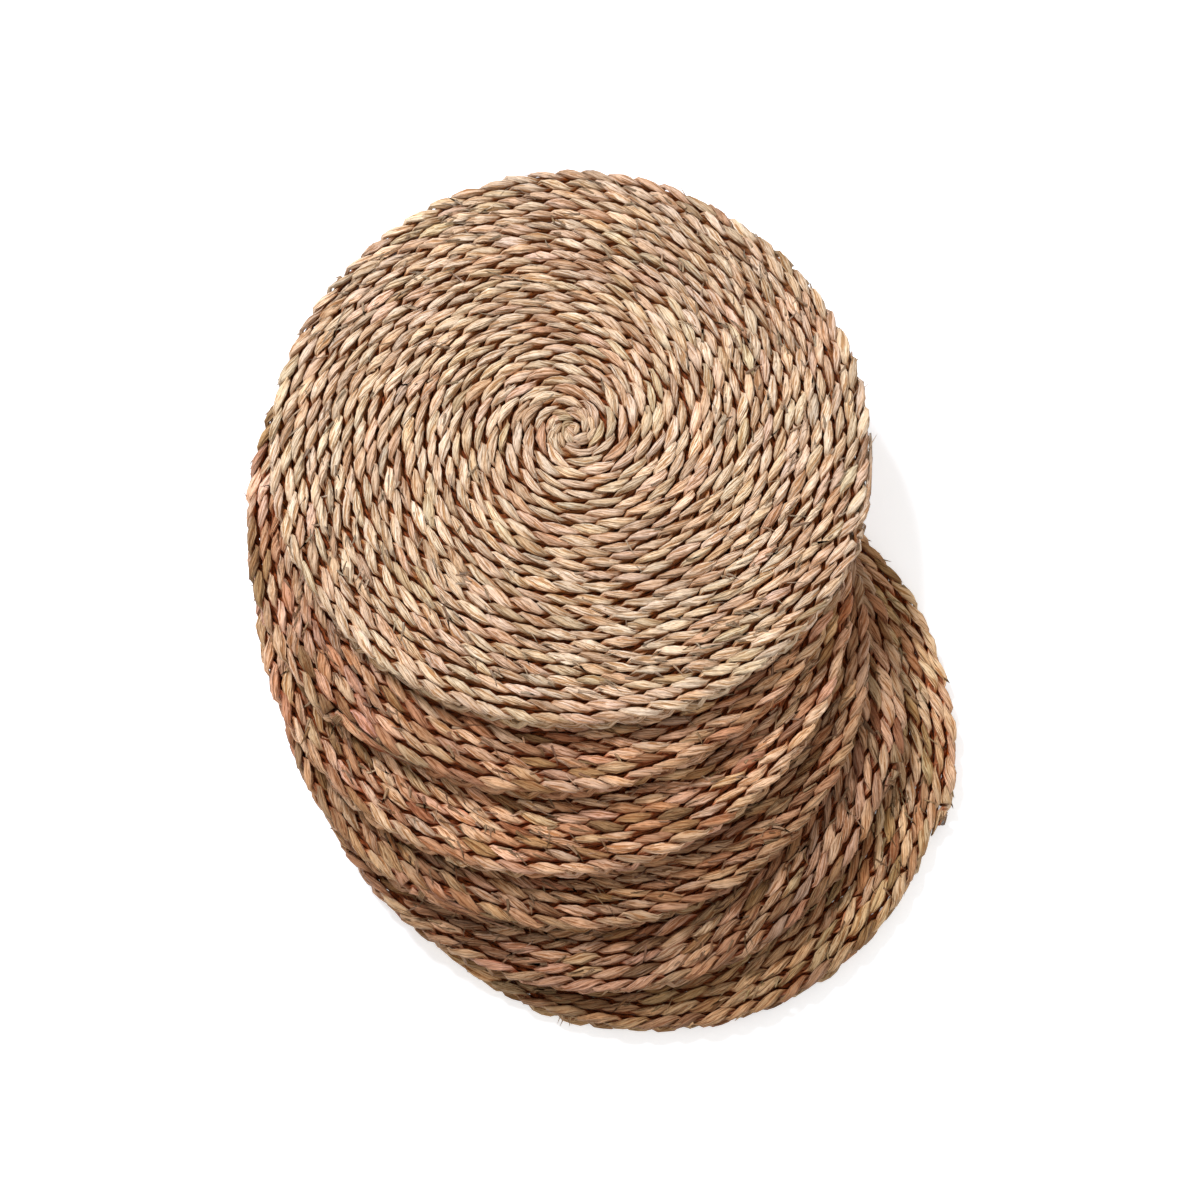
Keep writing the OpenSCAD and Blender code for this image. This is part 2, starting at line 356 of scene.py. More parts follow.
def smooth(x):
    x = np.clip(x, 0, 1)
    return x * x * (3 - 2 * x)


def drift(rng, x, step, amount):
    """Smooth random wander along x, with a new value every step."""
    x = np.asarray(x, float)
    low = x.min()
    knots = rng.normal(0, 1, int((x.max() - low) / step) + 3)
    f = (x - low) / step
    i = np.floor(f).astype(int)
    w = smooth(f - i)
    return amount * (knots[i] * (1 - w) + knots[i + 1] * w)


def direction_of(q):
    return np.degrees(np.arctan2(q[..., 1], q[..., 0]))


def wrapped(angle):
    return (angle + 180) % 360 - 180


def near(way, centre, spread):
    """1 in a direction and less on either side of it."""
    return np.exp(-((wrapped(way - centre) / spread) ** 2))


def pinch(r):
    """How narrow the plait's first turns are."""
    return np.clip(r / PINCH_R, PINCH_LEAST, 1)


# Painted shade: how much a leaf is darkened at a depth below the pad's faces
def shade_at_depth(depth):
    return smooth((depth - HOLLOW_SHADE_FROM) / HOLLOW_SHADE_SPAN)


def depth_below_faces(rings):
    return MID - SKIN - np.abs(rings[..., 2] - MID)


# ---------------------------------------------------------------- the spiral that each pad's plait follows
class Coil:
    def __init__(self, pad):
        self.pad = pad
        self.turns, self.end, self.flipped, self.tail, self.slot, self.seed = PADS[pad]
        self.body = pad + "_pad"
        self.radii = HALF_STEP + HALF_STEP * np.arange(self.turns + 2)
        self.starts = np.concatenate([[0], np.cumsum(math.pi * self.radii)])
        self.length = self.starts[self.turns]
        self.last_round = self.starts[self.turns - 2]
        local_end = 0 if self.turns % 2 == 0 else 180
        self.turned = math.radians(self.end - 180 + local_end if self.flipped else self.end - local_end)
        self.middle, self.level = self.find_place()

    def along(self, s):
        """Point, outward direction, forward direction and radius at distance s along the plait."""
        s = np.asarray(s, float)
        k = np.clip(np.searchsorted(self.starts, s, side="right") - 1, 0, len(self.radii) - 1)
        r = self.radii[k]
        angle = k * math.pi + (s - self.starts[k]) / r
        out = np.stack([np.cos(angle), np.sin(angle), 0 * s], -1)
        ahead = np.stack([-np.sin(angle), np.cos(angle), 0 * s], -1)
        point = out * r[..., None]
        point[..., 0] += (k % 2) * HALF_STEP
        return point, out, ahead, r

    def turn(self, p):
        q = np.array(p, float)
        if self.flipped:
            q[..., 0] = -q[..., 0]
        c, s = math.cos(self.turned), math.sin(self.turned)
        x, y = q[..., 0].copy(), q[..., 1].copy()
        q[..., 0], q[..., 1] = c * x - s * y, s * x + c * y
        return q

    def find_place(self):
        """The pad's middle and level, from the box of its plait."""
        low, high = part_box(self.pad + "_pad_plait")
        s = np.linspace(self.last_round, self.length, PLACE_SAMPLES)
        point, out, _, _ = self.along(s)
        rim = self.turn(point + out * PLAIT_W / 2)
        mine = (rim.min(0) + rim.max(0)) / 2
        middle = np.array([(low[i] + high[i]) / 2 / MM - mine[i] for i in range(2)])
        return middle, low[2] / MM

    def place(self, p):
        """Local millimetres to the row frame in metres, with the hand-made departures from round."""
        q = self.turn(p)
        r = np.hypot(q[..., 0], q[..., 1]) + 1e-9
        way = direction_of(q)
        push = np.zeros_like(r)
        for centre, spread, amount in OUT_OF_ROUND[self.pad]:
            push += amount * near(way, centre, spread)
        scale = 1 + push * (r / self.radii[self.turns - 1]) ** 2 / r
        q[..., 0] = q[..., 0] * scale + self.middle[0]
        q[..., 1] = q[..., 1] * scale + self.middle[1]
        q[..., 2] = np.clip(q[..., 2], SKIN, PAD_T - SKIN) + self.level
        return q * MM

    def tone(self, p):
        """How light a pad's leaves are at local points: own tone with painted light and shade, in patches."""
        q = self.turn(p)
        way = direction_of(q)
        share = np.clip(np.hypot(q[..., 0], q[..., 1]) / self.radii[self.turns - 1], 0, 1)
        factor = np.ones(share.shape + (3,))
        for centre, spread, amount in LIGHT_AND_TONE_PATCHES[self.pad]:
            factor *= 1 + (np.array(amount) - 1) * (share * near(way, centre, spread))[..., None]
        return factor

    def spot(self, direction):
        """Distance along the last round at which the rim faces a direction in the row frame."""
        s = np.linspace(self.last_round, self.length, SPOT_SAMPLES)
        way = direction_of(self.turn(self.along(s)[0]))
        return float(s[np.argmin(np.abs(wrapped(way - direction)))])


# ---------------------------------------------------------------- meshes made of many tubes
class Bundle:
    """Tubes gathered into one mesh. Each point keeps its leaf colour, its place in the leaf's grain and its painted
    shade.
    """

    def __init__(self, flipped):
        self.flipped = flipped
        self.verts, self.quads, self.caps = [], [], []
        self.leaf, self.grain, self.hollow, self.crease = [], [], [], []
        self.count = 0

    def tube(self, rings, leaf, grain, hollow=0.0, crease=()):
        """rings of points joined into a closed tube; crease gives the columns of points that stay sharp."""
        n, sides = rings.shape[:2]
        columns = np.zeros(sides, np.int64)
        columns[list(crease)] = sides
        base = self.count
        i = np.arange(n - 1)[:, None] * sides + base
        j = np.arange(sides)[None, :]
        k = (j + 1) % sides
        quads = np.stack([i + j, i + k, i + sides + k, i + sides + j], -1).reshape(-1, 4)
        start = base + np.arange(sides)[::-1]
        end = base + (n - 1) * sides + np.arange(sides)
        if self.flipped:
            quads, start, end = quads[:, ::-1], start[::-1], end[::-1]
        self.quads.append(quads)
        self.caps += [start, end]
        self.verts.append(rings.reshape(-1, 3))
        self.leaf.append(np.broadcast_to(leaf, (n, sides, 3)).reshape(-1, 3))
        self.grain.append(grain.reshape(-1, 3))
        self.hollow.append(np.broadcast_to(hollow, (n, sides)).ravel())
        self.crease.append(np.broadcast_to(columns, (n, sides)).ravel())
        self.count += n * sides

    def build(self, name, material):
        verts = np.concatenate(self.verts)
        quads = np.concatenate(self.quads)
        loops = np.concatenate([quads.ravel()] + self.caps)
        sizes = np.concatenate([np.full(len(quads), 4), [len(c) for c in self.caps]]).astype(np.int32)
        starts = np.concatenate([[0], np.cumsum(sizes)[:-1]]).astype(np.int32)
        mesh = bpy.data.meshes.new(name)
        mesh.vertices.add(len(verts))
        mesh.vertices.foreach_set("co", verts.astype(np.float32).ravel())
        mesh.loops.add(len(loops))
        mesh.loops.foreach_set("vertex_index", loops.astype(np.int32))
        mesh.polygons.add(len(sizes))
        mesh.polygons.foreach_set("loop_start", starts)
        mesh.polygons.foreach_set("loop_total", sizes)
        mesh.polygons.foreach_set("use_smooth", np.ones(len(sizes), bool))
        mesh.update(calc_edges=True)
        self.sharpen(mesh)
        rgba = np.ones((len(verts), 4), np.float32)
        rgba[:, :3] = np.concatenate(self.leaf)
        mesh.attributes.new("leaf", "FLOAT_COLOR", "POINT").data.foreach_set("color", rgba.ravel())
        grain = np.concatenate(self.grain).astype(np.float32)
        mesh.attributes.new("grain", "FLOAT_VECTOR", "POINT").data.foreach_set("vector", grain.ravel())
        # painted shade, kept on each point for the material
        hollow = np.concatenate(self.hollow).astype(np.float32)
        mesh.attributes.new("hollow", "FLOAT", "POINT").data.foreach_set("value", hollow)
        mesh.materials.append(material)
        return linked(bpy.data.objects.new(name, mesh))

    def sharpen(self, mesh):
        """Marks the edges along the creases: the ones between a crease point and its like in the next ring."""
        crease = np.concatenate(self.crease)
        if crease.any():
            ends = np.zeros(len(mesh.edges) * 2, np.int32)
            mesh.edges.foreach_get("vertices", ends)
            a, b = ends.reshape(-1, 2).T
            sharp = (crease[a] > 0) & (crease[b] > 0) & (np.abs(a - b) == crease[a])
            mesh.attributes.new("sharp_edge", "BOOLEAN", "EDGE").data.foreach_set("value", sharp)


def linked(thing):
    bpy.context.scene.collection.objects.link(thing)
    return thing


def frames(points, across):
    """Two directions square to a line of points; the first is near the given one."""
    ahead = np.gradient(points, axis=0)
    ahead /= np.linalg.norm(ahead, axis=-1, keepdims=True) + 1e-12
    e1 = across - ahead * np.sum(across * ahead, -1, keepdims=True)
    e1 /= np.linalg.norm(e1, axis=-1, keepdims=True) + 1e-12
    return e1, np.cross(ahead, e1)


def column(value, n):
    return np.broadcast_to(np.asarray(value, float), (n,))[:, None]


def sweep(points, across, half_a, half_b, base, swell, twist=0.0, roll=0.0):
    """Rings round a line of points: an oval section of the given half sizes, whose outline twists within it."""
    e1, e2 = frames(points, across)
    n = len(points)
    angle = base[None, :] + column(twist, n)
    x = column(half_a, n) * np.cos(angle) * swell
    y = column(half_b, n) * np.sin(angle) * swell
    c, s = np.cos(column(roll, n)), np.sin(column(roll, n))
    x, y = x * c - y * s, x * s + y * c
    return points[:, None, :] + e1[:, None, :] * x[..., None] + e2[:, None, :] * y[..., None]


def round_outline(sides):
    return np.arange(sides) * TURN / sides, np.ones(sides)


def lobed_outline(rng):
    """Angles and distances of a strand's section, starting at a crease."""
    shares = np.array(LOBE_SHARES) * rng.uniform(*LOBE_UNLIKE, len(LOBE_SHARES))
    edges = np.concatenate([[0], np.cumsum(shares / shares.sum())]) * TURN
    steps = np.arange(len(LOBE_POINTS)) / len(LOBE_POINTS)
    base = np.concatenate([a + (b - a) * steps for a, b in zip(edges[:-1], edges[1:])])
    return base, np.tile(LOBE_POINTS, len(LOBE_SHARES))


def grain_of(base, along, seed):
    shape = (len(along), len(base))
    return np.stack([np.broadcast_to(GRAIN_R * np.cos(base) + GRAIN_APART * seed, shape),
                     np.broadcast_to(GRAIN_R * np.sin(base), shape),
                     np.broadcast_to(GRAIN_ALONG * along[:, None], shape)], -1)


def leaf_colours(rng, count, pad):
    tint, brown, unlike = TINTS_AND_SHADE[pad]
    shares = np.array([w for _, w in LEAVES])
    shares[[BROWN, OLIVE]] += brown
    kinds = rng.choice(len(LEAVES), count, p=shares / shares.sum())
    palette = linear([c for c, _ in LEAVES])
    middle = np.average(palette, 0, shares)
    # the pad's tint, on the lower pads partly painted shade
    colours = (middle + (palette - middle) * unlike)[kinds] * linear(np.array(tint) * 255)
    tones = rng.normal(1, TONE_SPREAD + TONE_SPREAD_BROWN * brown, (count, 1)).clip(*TONE_LIMITS)
    return colours * tones * rng.normal(1, HUE_SPREAD * unlike, (count, 3))


def leaf_colour(rng, pad):
    return leaf_colours(rng, 1, pad)[0]


# ================================================================ the plait
def prepare(coil):
    """Everything that varies by hand along a pad's plait."""
    rng = np.random.default_rng(coil.seed)
    room = np.arange(-ROOM_BEFORE, coil.length + ROOM_AFTER, ROOM_STEP)
    slip = drift(rng, room, *SLIP_WANDER)
    wander = drift(rng, room, *SIDE_WANDER)
    own = [drift(rng, room, *OWN_SLIP_WANDER) for _ in STRAND_NAMES]
    turning = [drift(rng, room, *TWIST_WANDER) for _ in STRAND_NAMES]
    coil.slip = lambda x: np.interp(x, room, slip)
    coil.wander = lambda x: np.interp(x, room, wander)
    coil.own_slip = lambda strand, x: np.interp(x, room, own[strand])
    coil.turning = lambda strand, x: np.interp(x, room, turning[strand])
    coil.outlines = [lobed_outline(rng) for _ in STRAND_NAMES]
    count = int((coil.length + ROOM_AFTER) / PERIOD * 2) + SPARE_CRESTS
    coil.crests = []
    for _ in STRAND_NAMES:
        crest = {key: rng.normal(mean, spread, count).clip(least, most)
                 for key, (mean, spread, least, most) in CREST_VARIES.items()}
        crest["colour"] = leaf_colours(rng, count, coil.pad)
        coil.crests.append(crest)
    return rng


def away_from_crest(t):
    """0 at a crest, 1 at mid-height."""
    return np.abs((t % math.pi) / math.pi - 0.5) * 2


def width_at(t, crest, turn, cross, point):
    """Half width of a strand at phase t: cross at mid-height, turn where it dives under a leaf, crest between."""
    off = away_from_crest(t)
    leaf = turn + (crest - turn) * (1 - np.clip(off / DIVE, 0, 1) ** point)
    return np.where(off < DIVE, leaf, turn + (cross - turn) * smooth((off - DIVE) / (1 - DIVE)))


def plait_strand(coil, strand, s_from, s_to, keep_of=None):
    """Rings, colours, grain and painted shade of one strand of the plait between two distances along it.

    keep_of says how much of its size and sway it keeps at a distance, where it thins out.
    """
    lead = TURN * strand / 3
    t_from, t_to = (distance / PERIOD * TURN + lead for distance in (s_from, s_to))
    halves = np.arange(math.floor(t_from / math.pi), math.ceil(t_to / math.pi) + 1)
    t = (halves[:, None] * math.pi + np.radians(RING_PHASES)).ravel()
    t = t[(t >= t_from) & (t <= t_to)]
    base = (t - lead) / TURN * PERIOD
    s = np.clip(base + coil.slip(base) + coil.own_slip(strand, base), 0, None)
    point, out, _, r = coil.along(s)

    # the leaf that shows at each phase, and how far it has come up
    m = np.floor(t / math.pi).astype(int)
    show = np.abs(np.sin(t))
    crest = coil.crests[strand]
    last = len(crest["lift"]) - 1
    at = np.clip(m, 0, last)

    # the strand's line
    climb = (np.sin(t) + FLAT_TOP * np.sin(3 * t)) / (1 - FLAT_TOP)
    z = MID + climb * (RISE + crest["lift"][at] * show)
    slant = np.sin(2 * t) + STRAIGHT[0] * np.sin(4 * t) + STRAIGHT[1] * np.sin(6 * t)
    side = -SWAY * slant * crest["weave"][at] + crest["aside"][at] * show ** 2
    side = side + coil.wander(base)
    sunk = EYE_SINK * (1 - smooth((r - EYE_R) / EYE_SINK_SPAN))
    z = MID + (z - MID) * (1 - sunk)

    # its section
    under = np.where(np.sin(t) < 0, UNDERSIDE_WIDER, 1)
    wide = width_at(t, CREST_A * crest["width"][at] * under, TURN_A * under, CROSS_A,
                    LEAF_POINT * crest["point"][at])
    deep = crest["depth"][at] * np.interp(away_from_crest(t), (0, *DIVE_B), (CREST_B, TURN_B, CROSS_B))
    if keep_of is not None:
        keep = keep_of(s)
        z = MID + (z - MID) * keep + (1 - keep) * TAIL_RISE
        side = side * keep - (1 - keep) * TAIL_LEAN
        wide, deep = wide * keep, deep * keep
    tight = pinch(r)
    points = point + out * (side * tight)[:, None]
    points[:, 2] = z
    outline, swell = coil.outlines[strand]
    rings = sweep(points, out, wide * tight, deep, outline, swell,
                  twist=s * TURN / TWIST + coil.turning(strand, base), roll=crest["roll"][at] * show)

    # painted shade: darker where it is deep below the faces, and on the last round deep behind the rim
    outside = np.sum((rings - point[:, None, :]) * out[:, None, :], -1)
    at_rim = (s > coil.last_round)[:, None]
    behind_rim = np.where(at_rim, PLAIT_W / 2 - outside, PAD_T)
    hollow = shade_at_depth(np.minimum(depth_below_faces(rings), behind_rim))

    # each leaf's own colour, going over into the next one's where the strand crosses mid-height, times the pad's
    # patches of own tone and painted light and shade
    f = t / math.pi - m
    up = smooth((f - 1 + COLOUR_BLEND) / (2 * COLOUR_BLEND))[:, None]
    down = smooth((COLOUR_BLEND - f) / (2 * COLOUR_BLEND))[:, None]
    here, after, before = (crest["colour"][np.clip(m + d, 0, last)] for d in (0, 1, -1))
    colour = (here * (1 - up - down) + after * up + before * down) * coil.tone(point)
    return rings, colour[:, None, :], grain_of(outline, s, strand + 3 * (coil.seed % GRAIN_SEEDS)), hollow


def inner_leaves(coil, bundle):
    """The leaves squeezed in the plait's middle, painted dark as shade between the ones that show."""
    s = np.concatenate([np.arange(INNER_FROM, INNER_NEAR_EYE, INNER_CLOSE_STEP),
                        np.arange(INNER_NEAR_EYE, coil.last_round, INNER_STEP),
                        np.arange(coil.last_round, coil.length, INNER_CLOSE_STEP)])
    point, out, _, r = coil.along(s)
    point[:, 2] = MID
    outline, swell = round_outline(INNER_SIDES)
    outline = outline + math.pi / INNER_SIDES  # a flat side outward
    at_rim = s > coil.last_round
    rings = sweep(point, out, np.where(at_rim, INNER_RIM_HALF_W, INNER_HALF_W * pinch(r)),
                  np.where(at_rim, INNER_RIM_HALF_H, INNER_HALF_H), outline, swell)
    outward = at_rim[:, None] & (np.cos(outline) > 0.5)[None, :]  # the two points of that side
    # painted shade: dark inside the plait, less so on the side that faces out of the pad
    bundle.tube(coil.place(rings), linear(INNER_COLOUR), grain_of(outline, s, INNER_GRAIN),
                np.where(outward, INNER_RIM_HOLLOW_SHADE, INNER_HOLLOW_SHADE))


# ================================================================ straws, the eye, twine and tails
def straw(bundle, coil, points, half_w, half_t, colour, seed, tip=0.15):
    """A thin flat straw along local points, thinning to its tip."""
    thin = 1 + (tip - 1) * np.linspace(0, 1, len(points)) ** 2
    across = np.cross(np.gradient(points, axis=0), UP) + 1e-6  # never quite zero
    outline, swell = round_outline(STRAW_SIDES)
    rings = sweep(points, across, half_w * thin, half_t * thin, outline, swell)
    along = np.concatenate([[0], np.cumsum(np.linalg.norm(np.diff(points, axis=0), axis=-1))])
    bundle.tube(coil.place(rings), colour, grain_of(outline, along, seed))


def reach(coil, s, side, z, heading, climb, length, bend, steps=7):
    """Points from a place on the plait. heading turns from forward to outward, climb from level to up."""
    point, out, ahead, _ = coil.along(np.array(s, float))
    h, c = math.radians(heading), math.radians(climb)
    way = math.cos(c) * (math.cos(h) * ahead + math.sin(h) * out) + math.sin(c) * UP
    aside = -math.sin(h) * ahead + math.cos(h) * out
    share = np.linspace(0, 1, steps)[:, None]
    start = point + out * side + UP * z
    return start + way * length * share + aside * bend * share ** 2


def loose_ends(coil, rng):
    """Tips of spliced leaves and whiskers, on the face, the underside and the rim."""
    bundle = Bundle(coil.flipped)
    pad = coil.pad
    upper, under, whiskers = LOOSE_ENDS[pad]
    inner_rounds = coil.starts[coil.turns - 3]
    size = FACE_TIP
    for i in range(upper + under):
        face = i < upper
        s = inner_rounds * math.sqrt(rng.uniform(size["inward"], 1))
        depth = rng.uniform(*size["depth"])
        climb = rng.uniform(*size["climb"])
        points = reach(coil, s, rng.uniform(*size["side"]), PAD_T - depth if face else depth,
                       rng.normal(*size["heading"]), climb if face else -climb,
                       rng.uniform(*size["length"]), rng.normal(0, size["bend"]))
        straw(bundle, coil, points, rng.uniform(*size["half_w"]), rng.uniform(*size["half_t"]),
              leaf_colour(rng, pad) * rng.uniform(*size["tone"]), i)
    size = WHISKER
    for i in range(whiskers):
        s = rng.uniform(coil.last_round, coil.length - RIM_END_FREE)
        points = reach(coil, s, rng.uniform(*size["side"]), rng.uniform(*size["height"]),
                       rng.choice([1, -1]) * rng.uniform(*size["heading"]) % 180,  # forward or back, and outward
                       rng.uniform(*size["climb"]), rng.uniform(*size["length"]), rng.normal(0, size["bend"]))
        straw(bundle, coil, points, rng.uniform(*size["half_w"]), size["half_t"],
              leaf_colour(rng, pad) * size["tone"], i)
    size = FRAYED_TIP
    for i in range(FRAYED_TIPS):
        s = rng.uniform(coil.last_round, coil.length - RIM_END_FREE)
        points = reach(coil, s, rng.uniform(*size["side"]), PAD_T - rng.uniform(*size["depth"]),
                       rng.uniform(*size["heading"]), rng.uniform(*size["climb"]), rng.uniform(*size["length"]),
                       rng.normal(0, size["bend"]), size["steps"])
        straw(bundle, coil, points, rng.uniform(*size["half_w"]), size["half_t"], leaf_colour(rng, pad), i, size["tip"])
    size = STRAY_END
    for direction, heading, climb, length, half_w in STRAY_ENDS.get(pad, []):
        points = reach(coil, coil.spot(direction), size["side"], PAD_T - size["depth"], heading, climb, length,
                       rng.normal(0, size["bend"]), size["steps"])
        straw(bundle, coil, points, half_w, size["half_t"], leaf_colour(rng, pad), 1)
    return bundle


def directions_at(way):
    """Outward at an angle, and forward, square to it."""
    return np.array([math.cos(way), math.sin(way), 0]), np.array([-math.sin(way), math.cos(way), 0])


def start_piece(coil, rng):
    """The plait's folded start: short narrow leaves wound round the eye, on both faces."""
    bundle = Bundle(coil.flipped)
    middle = np.array([HALF_STEP / 2, 0, 0])
    share = np.linspace(-1, 1, EYE_RINGS)
    show = np.cos(share * math.pi / 2) ** EYE_POINT
    for face in (1, -1):
        size = EYE_LEAF
        way = rng.uniform(0, TURN)
        while (radius := EYE_FIRST_R + EYE_PITCH * way / TURN) <= EYE_R + EYE_OVERLAP:
            half = rng.uniform(*size["half_length"]) * min(1, size["shorter"][0] + radius / size["shorter"][1])
            out, ahead = directions_at(way)
            lean = math.radians(rng.normal(*size["lean"]))
            run = (half * share)[:, None]
            points = middle + out * (radius + rng.normal(0, size["off_line"])) + ahead * run * math.cos(lean) \
                + out * (run * math.sin(lean) - size["bend"] * run ** 2 / max(radius, size["bend_r"]))
            across = np.broadcast_to(out * math.cos(lean) - ahead * math.sin(lean), points.shape)
            lift, spread = size["lift"]
            points[:, 2] = MID + face * (RISE + lift + rng.normal(0, spread) - size["droop"] * share ** 2)
            outline, swell = lobed_outline(rng)
            rings = sweep(points, across, size["end"] + rng.uniform(*size["half_w"]) * show,
                          size["end"] + size["half_h"] * show, outline, swell,
                          twist=share * size["twist"] + rng.uniform(0, TURN), roll=rng.normal(0, EYE_ROLL))
            # painted shade where the eye's leaves lie deep below the faces
            bundle.tube(coil.place(rings), leaf_colour(rng, coil.pad),
                        grain_of(outline, share * half + size["grain_apart"] * way, size["grain"]),
                        shade_at_depth(depth_below_faces(rings)), CREASES)
            way += EYE_SPACING * rng.uniform(*size["apart"]) / radius
        size = KNOT_LEAF
        for turned in KNOT_DIRECTIONS:
            ahead, aside = directions_at(math.radians(turned + rng.uniform(*size["turned"])))
            points = middle + ahead * (share * size["half_length"] + rng.normal(0, size["along"]))[:, None] \
                + aside * (size["aside"] * rng.uniform(*size["aside_share"]) - size["bow"] * share ** 2)[:, None]
            lift, spread = size["lift"]
            droop, more = size["droop"]
            points[:, 2] = MID + face * (RISE + lift + rng.normal(0, spread) - droop * share ** 2 - more * share ** 4)
            outline, swell = lobed_outline(rng)
            rings = sweep(points, np.broadcast_to(aside, points.shape), size["end"] + size["half_w"] * show,
                          size["end"] + size["half_h"] * show, outline, swell,
                          twist=rng.uniform(0, TURN), roll=rng.normal(0, EYE_ROLL))
            # slight painted shade on the knot's leaves
            bundle.tube(coil.place(rings), leaf_colour(rng, coil.pad) * size["tone"],
                        grain_of(outline, share * size["half_length"], size["grain"]), size["hollow"], CREASES)
    core = np.linspace(-1, 1, CORE_RINGS)[:, None] * UP * CORE_HALF_H + middle + UP * MID
    outline, swell = lobed_outline(rng)
    rings = sweep(core, np.array([1.0, 0, 0]), CORE_R, CORE_R, outline, swell)
    # painted shade on the filling
    bundle.tube(coil.place(rings), leaf_colour(rng, coil.pad), grain_of(outline, core[:, 2], CORE_GRAIN),
                CORE_HOLLOW_SHADE, CREASES)
    return bundle


def sewing_piece(coil):
    """Twine that sews each round to the one inside it, in small slanting stitches at mid-height."""
    bundle = Bundle(coil.flipped)
    s = np.arange(coil.starts[2] + STITCH_FREE, coil.length - STITCH_FREE, STITCH / STITCH_STEPS)
    point, out, _, _ = coil.along(s)
    swing = s / STITCH * TURN
    points = point - out * (HALF_STEP + STITCH_SWING * np.sin(swing))[:, None]
    points[:, 2] = MID + STITCH_RISE * np.cos(swing)
    outline, swell = round_outline(TWINE_SIDES)
    rings = sweep(points, out, TWINE_HALF_W, TWINE_HALF_H, outline, swell)
    # painted shade: the twine is painted dark where it lies between the rounds
    bundle.tube(coil.place(rings), linear(TWINE_COLOUR), grain_of(outline, s * TWINE_GRAIN, 0), TWINE_HOLLOW_SHADE)
    return bundle


def tail_piece(coil, rng):
    """The strand ends past the last round: whipped to the rim, then thinning out along it or cut off."""
    bundle = Bundle(coil.flipped)
    length, tail = coil.length, coil.tail
    long = tail > SHORT_TAIL
    thinner, thin_from, thin_over = LONG_THINNING if long else SHORT_THINNING
    stops = [tail * share for share in LONG_STOPS] if long else [tail - cut for cut in SHORT_CUTS]

    def keep_of(s):
        past = s - length
        return (1 - WAIST * smooth(past / WAIST_SPAN)) * (1 - thinner * smooth((past - thin_from) / (tail * thin_over)))

    for strand, stop in enumerate(stops):
        rings, colour, grain, hollow = plait_strand(coil, strand, length - TAIL_INTO_PLAIT, length + stop, keep_of)
        if long:
            to_end = len(rings) - 1 - np.arange(len(rings))
            middle = rings.mean(1, keepdims=True)
            rings = middle + (rings - middle) * np.clip(to_end / FADE_RINGS, FADE_LEAST, 1)[:, None, None]
        bundle.tube(coil.place(rings), colour, grain, hollow, CREASES)
    count, spread, proud = TAIL_STRAWS[coil.pad]
    size = TAIL_STRAW
    share = np.linspace(0, 1, size["rings"])
    side_wave, side_waves = size["side_wave"]
    rise_wave, rise_waves = size["rise_wave"]
    for i in range(count):
        begin = length + rng.uniform(size["begin"], size["begin_long"] if long else size["begin_short"])
        end = length + (tail * rng.uniform(*size["end"]) if long else tail + rng.uniform(0, proud))
        point, out, _, _ = coil.along(np.linspace(begin, end, size["rings"]))
        lift = spread * rng.uniform(*size["spread"]) * share ** 2
        side = -PLAIT_W / 2 - size["off_rim"] + (1 - share) * rng.uniform(*size["side"]) + lift \
            + side_wave * np.sin(share * side_waves + i)
        points = point + out * side[:, None]
        points[:, 2] = MID + rng.uniform(*size["rise"]) * (1 - size["rise_less"] * share) \
            + rise_wave * np.sin(share * rise_waves + 2 * i)
        straw(bundle, coil, points, rng.uniform(*size["half_w"]), rng.uniform(*size["half_t"]),
              leaf_colour(rng, coil.pad) * size["tone"], i, size["tip"])
    return bundle


def whipping_piece(coil):
    """Turns of twine round the tail where it leaves the plait."""
    bundle = Bundle(coil.flipped)
    turn = np.linspace(0, WHIPPING_TURNS * TURN, WHIPPING_RINGS * WHIPPING_TURNS)
    s = coil.length + WHIPPING_FROM + WHIPPING_STEP * turn / TURN
    point, out, _, _ = coil.along(s)
    c, d = (np.sign(x) * np.abs(x) ** WHIPPING_SQUARE for x in (np.cos(turn), np.sin(turn)))
    points = point + out * (WHIPPING_SIDE + WHIPPING_HALF_W * c)[:, None]
    points[:, 2] = MID + WHIPPING_HALF_H * d
    outline, swell = round_outline(WHIPPING_SIDES)
    back = point - coil.along(s + WHIPPING_AXIS)[0]
    rings = sweep(points, back, WHIPPING_R, WHIPPING_R, outline, swell)
    bundle.tube(coil.place(rings), linear(TWINE_COLOUR), grain_of(outline, turn * TWINE_GRAIN, 0))
    return bundle


# ================================================================ materials
def node(tree, kind, **values):
    """A new node. Names that begin with _ are its settings, the others its inputs."""
    n = tree.nodes.new(kind)
    for k, v in values.items():
        if k.startswith("_"):
            setattr(n, k[1:], v)
        else:
            n.inputs[k].default_value = v
    return n


def noise(tree, vector, scale, detail, roughness):
    n = node(tree, "ShaderNodeTexNoise", Scale=scale, Detail=detail, Roughness=roughness)
    tree.links.new(vector, n.inputs["Vector"])
    return n.outputs[0]


def ranged(tree, source, begins, full, most):
    """0 where the source is at begins, and most where it is at full."""
    n = node(tree, "ShaderNodeMapRange", _interpolation_type="SMOOTHSTEP")
    for key, value in (("From Min", begins), ("From Max", full), ("To Min", 0), ("To Max", most)):
        n.inputs[key].default_value = value
    tree.links.new(source, n.inputs["Value"])
    return n.outputs[0]


def multiplied(tree, colour, factor, tint):
    """colour times tint, by factor."""
    n = node(tree, "ShaderNodeMix", _data_type="RGBA", _blend_type="MULTIPLY")
    n.inputs["B"].default_value = (*tint, 1)
    tree.links.new(factor, n.inputs["Factor"])
    tree.links.new(colour, n.inputs["A"])
    return n.outputs["Result"]


